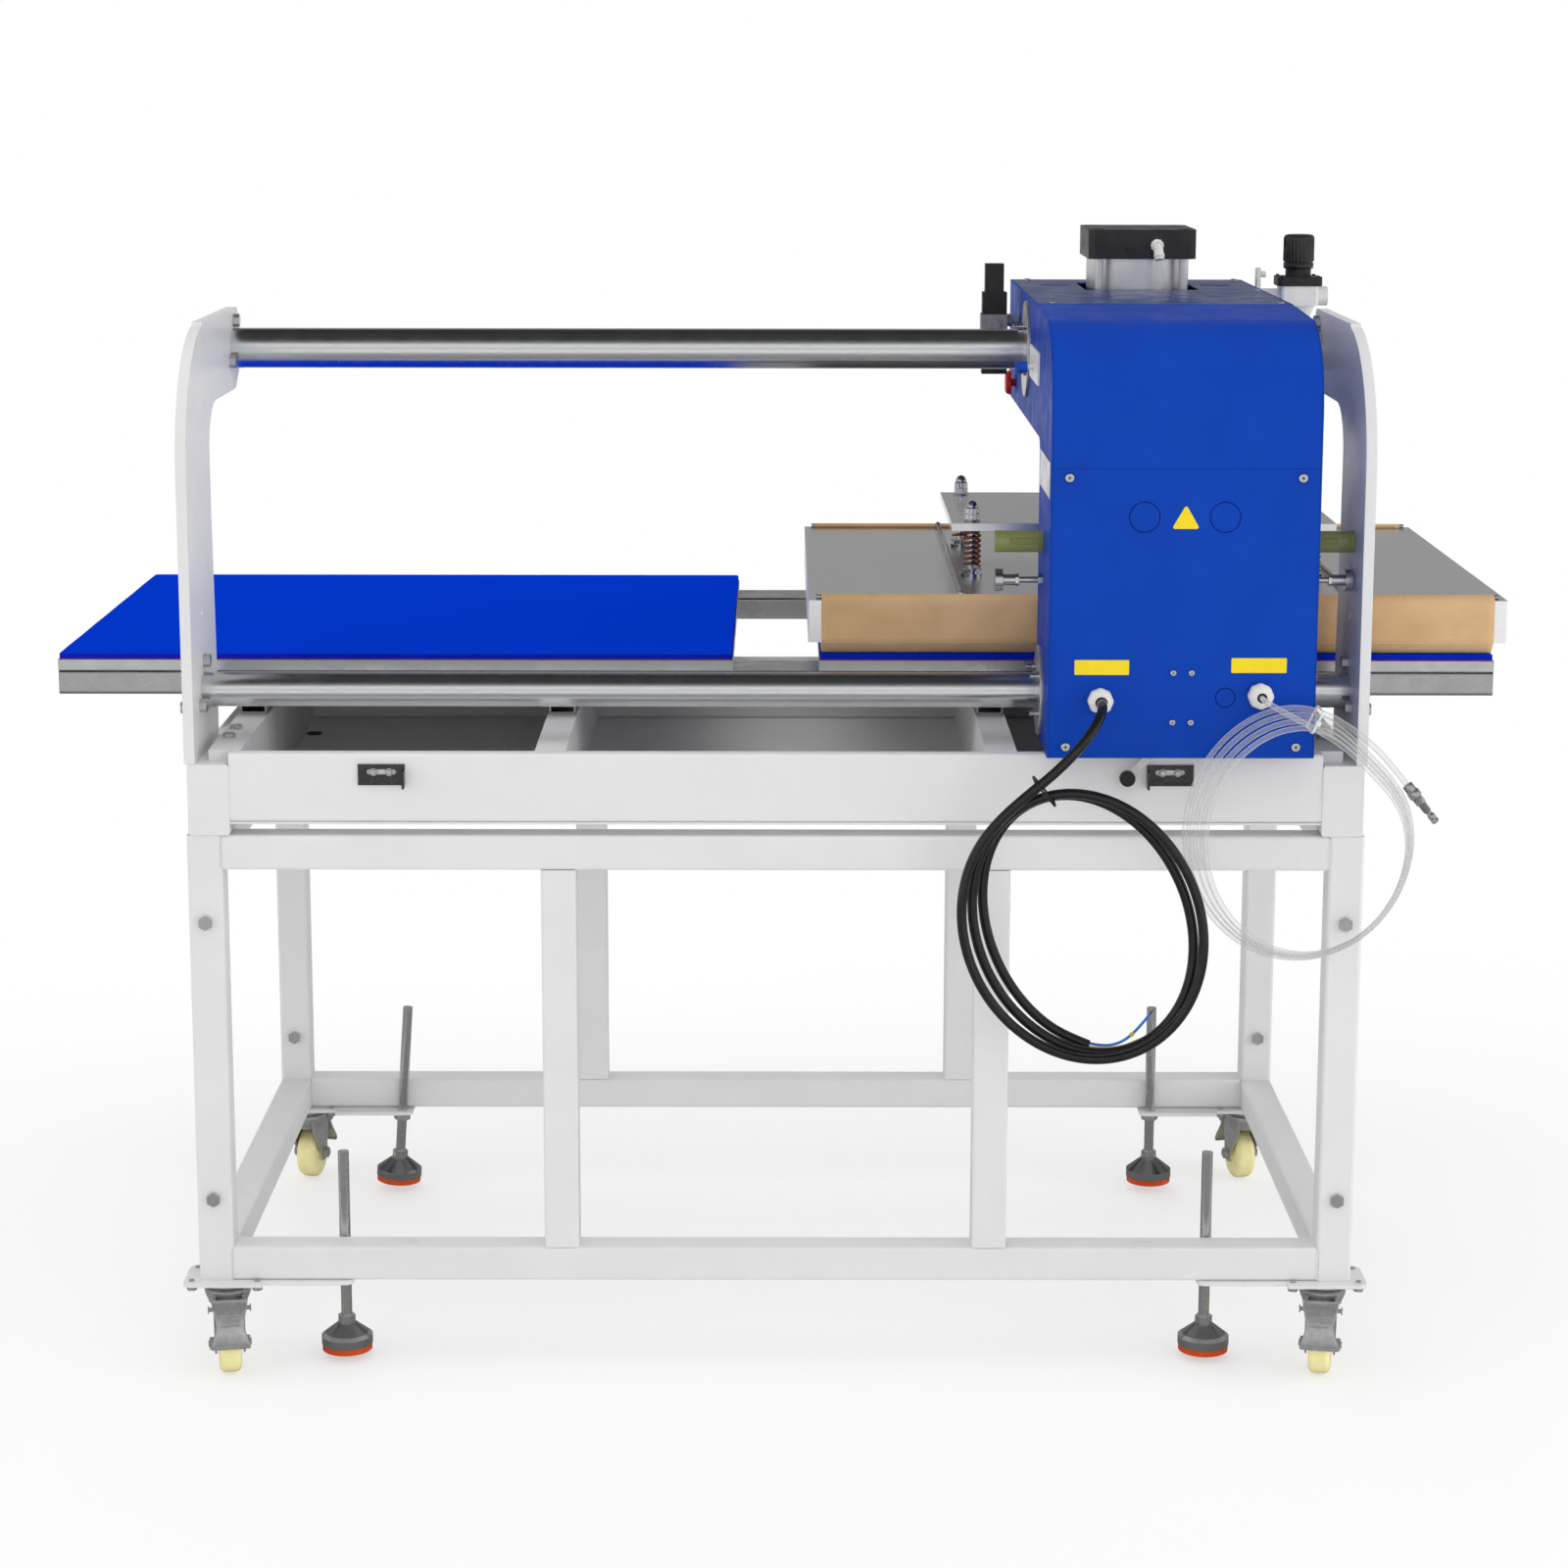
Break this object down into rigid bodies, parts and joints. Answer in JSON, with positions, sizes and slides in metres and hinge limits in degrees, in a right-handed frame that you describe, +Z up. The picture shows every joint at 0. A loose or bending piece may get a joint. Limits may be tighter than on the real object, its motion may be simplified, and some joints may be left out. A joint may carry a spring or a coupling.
{
  "type": "pneumatic heat press",
  "caption": "Pneumatic heat press on a wheeled tubular cart, with one sliding press head over two fixed padded beds.",
  "frame": {"origin": "middle of the whole machine's box, on the floor", "axes": "+X to the right as seen from the rear, along the rails, +Y towards the operator, +Z up"},
  "size_m": [2.1484, 1.2557, 1.623],
  "materials": {
    "white_coat": "white powder coat, fine orange peel",
    "polished_rail": "polished hard chrome",
    "plate_aluminium": "machined flat",
    "pad_silicone": "smooth royal blue silicone",
    "blue_coat": "royal blue powder coat",
    "zinc": "bright zinc",
    "caster_chrome": "chrome plate over pressed steel",
    "wheel_nylon": "cream nylon",
    "foot_rubber": "dark cone with bright rim, rubber pad",
    "cap_black": "black anodised",
    "barrel_silver": "clear anodised",
    "valve_grey": "black coil over grey body",
    "knob_black": "fluted",
    "regulator_white": "white housing",
    "fitting_white": "nylon",
    "buffer_clear": "yellow-green translucent polyurethane",
    "copper_spring": "copper-coated wire",
    "casing_steel": "brushed stainless",
    "heat_alloy": "machined",
    "wool_board": "pressed mineral wool",
    "ptfe_tan": "tan coated glass cloth",
    "button_red": "mushroom button",
    "button_green": "push button",
    "knob_blue": "small knob",
    "panel_grey": "display box",
    "cable_black": "gloss PVC jacket",
    "core_plastic": "blue and yellow-green cores",
    "hose_clear": "clear polyurethane",
    "plug_steel": "plated steel",
    "tie_nylon": "nylon strap",
    "switch_black": "black housing"
  },
  "bodies": {
    "frame": {"cart_legs": "white_coat", "cart_beams": "white_coat", "caster_plates": "white_coat", "frame_bolts": "zinc", "tray_frame": "white_coat", "uprights": "white_coat", "guide_rails": "polished_rail", "beds": "plate_aluminium", "silicone_pads": "pad_silicone", "striker_brackets": "zinc"},
    "head": {"head_sides": "blue_coat", "head_cover": "blue_coat", "head_panels": "blue_coat", "bearing_caps": "zinc", "head_screws": "zinc", "cylinder_barrel": "barrel_silver", "cylinder_cap": "cap_black", "fittings": "fitting_white", "regulator_body": "regulator_white", "solenoid_valve": "valve_grey", "limit_switch": "switch_black", "control_panel": "panel_grey", "buffers": "buffer_clear", "travel_stops": "zinc", "mains_cable": "cable_black", "mains_coil": "cable_black", "mains_cores": "core_plastic", "air_hose": "hose_clear", "air_coil": "hose_clear", "hose_plug": "plug_steel", "cable_ties": "tie_nylon"},
    "press": {"piston_rod": "polished_rail", "press_plate": "white_coat", "press_hardware": "zinc", "springs": "copper_spring", "platen_cover": "casing_steel", "heat_plate": "heat_alloy", "insulation": "wool_board", "ptfe_sheet": "ptfe_tan"},
    "caster_rear_left_fork": {"caster_rear_left_fork": "caster_chrome"},
    "caster_rear_left_wheel": {"caster_rear_left_wheel": "wheel_nylon"},
    "caster_rear_left_pedal": {"caster_rear_left_pedal": "caster_chrome"},
    "foot_rear_left": {"foot_rear_left": "foot_rubber"},
    "caster_rear_right_fork": {"caster_rear_right_fork": "caster_chrome"},
    "caster_rear_right_wheel": {"caster_rear_right_wheel": "wheel_nylon"},
    "caster_rear_right_pedal": {"caster_rear_right_pedal": "caster_chrome"},
    "foot_rear_right": {"foot_rear_right": "foot_rubber"},
    "caster_front_left_fork": {"caster_front_left_fork": "caster_chrome"},
    "caster_front_left_wheel": {"caster_front_left_wheel": "wheel_nylon"},
    "caster_front_left_pedal": {"caster_front_left_pedal": "caster_chrome"},
    "foot_front_left": {"foot_front_left": "foot_rubber"},
    "caster_front_right_fork": {"caster_front_right_fork": "caster_chrome"},
    "caster_front_right_wheel": {"caster_front_right_wheel": "wheel_nylon"},
    "caster_front_right_pedal": {"caster_front_right_pedal": "caster_chrome"},
    "foot_front_right": {"foot_front_right": "foot_rubber"},
    "switch_lever": {"switch_lever": "switch_black"},
    "regulator_knob": {"regulator_knob": "knob_black"},
    "side_knob": {"side_knob": "knob_blue"},
    "stop_button": {"stop_button": "button_red"},
    "start_button": {"start_button": "button_green"}
  },
  "joints": [
    {"name": "head_slide", "type": "slide", "parent": "frame", "child": "head", "axis": [1, 0, 0], "range_m": [-1.13, 0]},
    {"name": "press_slide", "type": "slide", "parent": "head", "child": "press", "axis": [0, 0, 1], "range_m": [0, 0.1]},
    {"name": "rear_left_swivel", "type": "hinge", "parent": "frame", "child": "caster_rear_left_fork", "pos_m": [-0.80725, -0.48095, 0.13], "axis": [0, 0, 1], "continuous": true},
    {"name": "rear_left_wheel_turn", "type": "hinge", "parent": "caster_rear_left_fork", "child": "caster_rear_left_wheel", "pos_m": [-0.80191, -0.50844, 0.042], "axis": [0.9816, 0.1908, 0], "continuous": true},
    {"name": "rear_left_pedal_turn", "type": "hinge", "parent": "caster_rear_left_fork", "child": "caster_rear_left_pedal", "pos_m": [-0.79847, -0.52611, 0.1], "axis": [-0.9816, -0.1908, 0], "range_deg": [0, 13]},
    {"name": "rear_left_foot_screw", "type": "slide", "parent": "frame", "child": "foot_rear_left", "axis": [0, 0, 1], "range_m": [-0.0095, 0.05]},
    {"name": "rear_right_swivel", "type": "hinge", "parent": "frame", "child": "caster_rear_right_fork", "pos_m": [0.79075, -0.48095, 0.13], "axis": [0, 0, 1], "continuous": true},
    {"name": "rear_right_wheel_turn", "type": "hinge", "parent": "caster_rear_right_fork", "child": "caster_rear_right_wheel", "pos_m": [0.78541, -0.50844, 0.042], "axis": [0.9816, -0.1908, 0], "continuous": true},
    {"name": "rear_right_pedal_turn", "type": "hinge", "parent": "caster_rear_right_fork", "child": "caster_rear_right_pedal", "pos_m": [0.78197, -0.52611, 0.1], "axis": [-0.9816, 0.1908, 0], "range_deg": [0, 13]},
    {"name": "rear_right_foot_screw", "type": "slide", "parent": "frame", "child": "foot_rear_right", "axis": [0, 0, 1], "range_m": [-0.0095, 0.05]},
    {"name": "front_left_swivel", "type": "hinge", "parent": "frame", "child": "caster_front_left_fork", "pos_m": [-0.80725, 0.35605, 0.13], "axis": [0, 0, 1], "continuous": true},
    {"name": "front_left_wheel_turn", "type": "hinge", "parent": "caster_front_left_fork", "child": "caster_front_left_wheel", "pos_m": [-0.80191, 0.38354, 0.042], "axis": [-0.9816, 0.1908, 0], "continuous": true},
    {"name": "front_left_pedal_turn", "type": "hinge", "parent": "caster_front_left_fork", "child": "caster_front_left_pedal", "pos_m": [-0.79847, 0.4012, 0.1], "axis": [0.9816, -0.1908, 0], "range_deg": [0, 13]},
    {"name": "front_left_foot_screw", "type": "slide", "parent": "frame", "child": "foot_front_left", "axis": [0.068, 0, 0.9977], "range_m": [-0.0125, 0.05]},
    {"name": "front_right_swivel", "type": "hinge", "parent": "frame", "child": "caster_front_right_fork", "pos_m": [0.79075, 0.35605, 0.13], "axis": [0, 0, 1], "continuous": true},
    {"name": "front_right_wheel_turn", "type": "hinge", "parent": "caster_front_right_fork", "child": "caster_front_right_wheel", "pos_m": [0.78541, 0.38354, 0.042], "axis": [-0.9816, -0.1908, 0], "continuous": true},
    {"name": "front_right_pedal_turn", "type": "hinge", "parent": "caster_front_right_fork", "child": "caster_front_right_pedal", "pos_m": [0.78197, 0.4012, 0.1], "axis": [0.9816, 0.1908, 0], "range_deg": [0, 13]},
    {"name": "front_right_foot_screw", "type": "slide", "parent": "frame", "child": "foot_front_right", "axis": [0, 0, 1], "range_m": [-0.0125, 0.05]},
    {"name": "switch_lever_turn", "type": "hinge", "parent": "head", "child": "switch_lever", "pos_m": [0.52575, -0.53045, 0.929], "axis": [0, 1, 0], "range_deg": [-10, 25], "stiffness_Nm_per_rad": 0.05},
    {"name": "regulator_knob_turn", "type": "hinge", "parent": "head", "child": "regulator_knob", "pos_m": [0.81325, 0.18405, 1.5783], "axis": [0, 0, 1], "range_deg": [-720, 720]},
    {"name": "side_knob_turn", "type": "hinge", "parent": "head", "child": "side_knob", "pos_m": [0.36025, -0.23595, 1.439], "axis": [1, 0, 0], "range_deg": [0, 90]},
    {"name": "stop_button_press", "type": "slide", "parent": "head", "child": "stop_button", "axis": [1, 0, 0], "range_m": [0, 0.004]},
    {"name": "start_button_press", "type": "slide", "parent": "head", "child": "start_button", "axis": [0, -1, 0], "range_m": [0, 0.004], "stiffness_N_per_m": 600}
  ]
}
